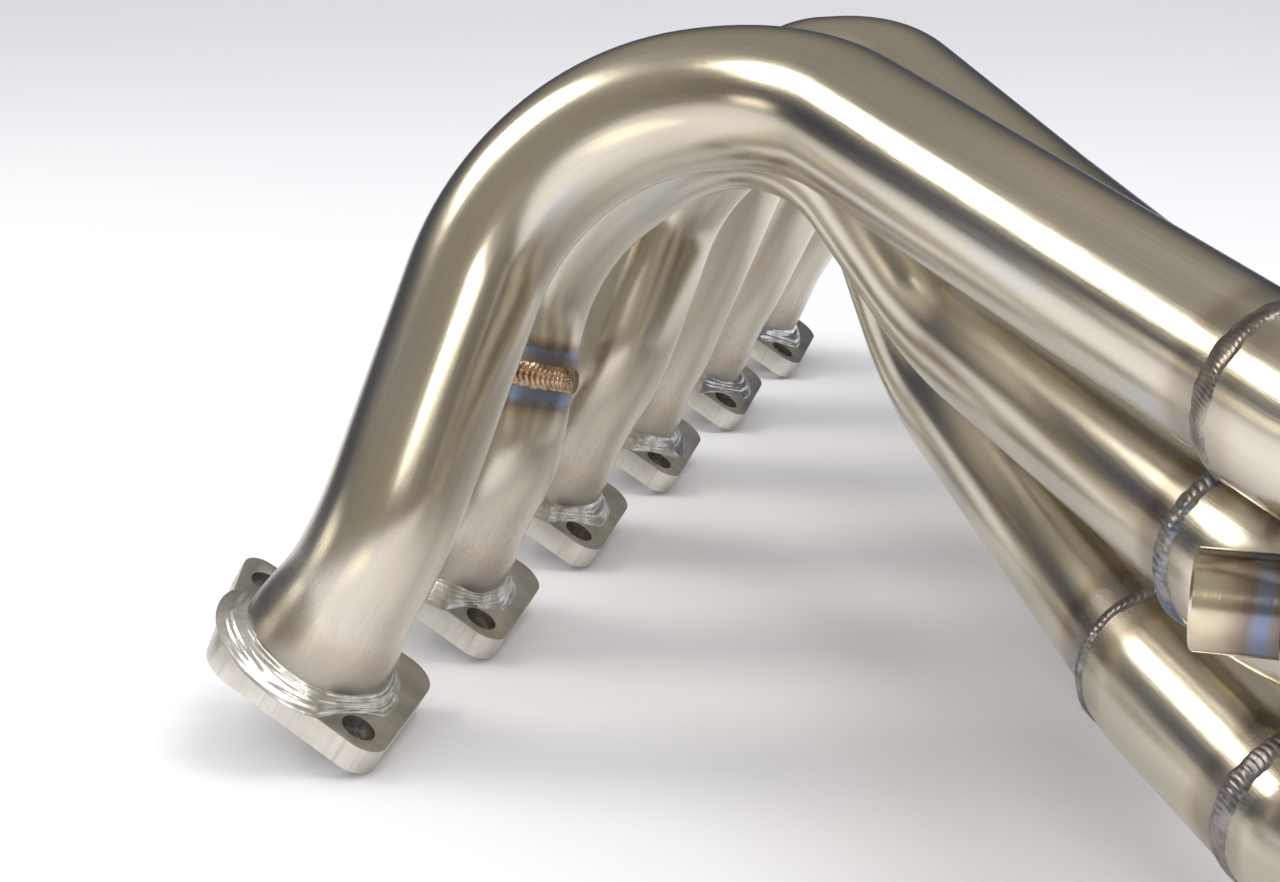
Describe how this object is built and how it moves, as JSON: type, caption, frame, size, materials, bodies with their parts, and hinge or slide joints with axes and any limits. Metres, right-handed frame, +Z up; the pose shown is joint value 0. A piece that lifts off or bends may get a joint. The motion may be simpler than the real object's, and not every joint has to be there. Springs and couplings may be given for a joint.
{
  "type": "exhaust manifold",
  "caption": "Tubular exhaust manifold: separate port flanges carry arched primary tubes that step up in size and merge in collectors with bolted outlets.",
  "frame": {"origin": "middle of the base, on the table that the manifold stands on", "axes": "+Z up; +Y along the port row, from port 1 to port 6; +X from the port flanges towards the collectors"},
  "size_m": [0.5396, 0.7082, 0.1963],
  "materials": {
    "tube_steel": "satin brushed stainless tube with a warm tint",
    "flange_steel": "plain machined steel plate",
    "weld_steel": "rippled weld bead with heat colours",
    "fillet_steel": "bright lumpy fillet weld",
    "boss_steel": "turned steel boss with a straw heat tint"
  },
  "bodies": {
    "root": {"butt_weld_2": "weld_steel", "butt_weld_3": "weld_steel", "collector_a": "tube_steel", "collector_b": "tube_steel", "collector_weld_a": "weld_steel", "collector_weld_b": "weld_steel", "flange_weld_1": "fillet_steel", "flange_weld_2": "fillet_steel", "flange_weld_3": "fillet_steel", "flange_weld_4": "fillet_steel", "flange_weld_5": "fillet_steel", "flange_weld_6": "fillet_steel", "outlet_flange_a": "flange_steel", "outlet_flange_b": "flange_steel", "outlet_flange_weld_a": "weld_steel", "outlet_flange_weld_b": "weld_steel", "outlet_pipe_a": "tube_steel", "outlet_pipe_b": "tube_steel", "outlet_weld_a": "weld_steel", "outlet_weld_b": "weld_steel", "port_flange_1": "flange_steel", "port_flange_2": "flange_steel", "port_flange_3": "flange_steel", "port_flange_4": "flange_steel", "port_flange_5": "flange_steel", "port_flange_6": "flange_steel", "primary_1": "tube_steel", "primary_2": "tube_steel", "primary_2_foot": "tube_steel", "primary_3": "tube_steel", "primary_4": "tube_steel", "primary_5": "tube_steel", "primary_6": "tube_steel", "second_stage_1": "tube_steel", "second_stage_2": "tube_steel", "second_stage_3": "tube_steel", "second_stage_4": "tube_steel", "second_stage_5": "tube_steel", "second_stage_6": "tube_steel", "sensor_boss_a": "boss_steel", "sensor_boss_b": "boss_steel", "step_weld_1": "weld_steel", "step_weld_2": "weld_steel", "step_weld_3": "weld_steel", "step_weld_4": "weld_steel", "step_weld_5": "weld_steel", "step_weld_6": "weld_steel", "third_stage_3": "tube_steel"}
  },
  "joints": []
}
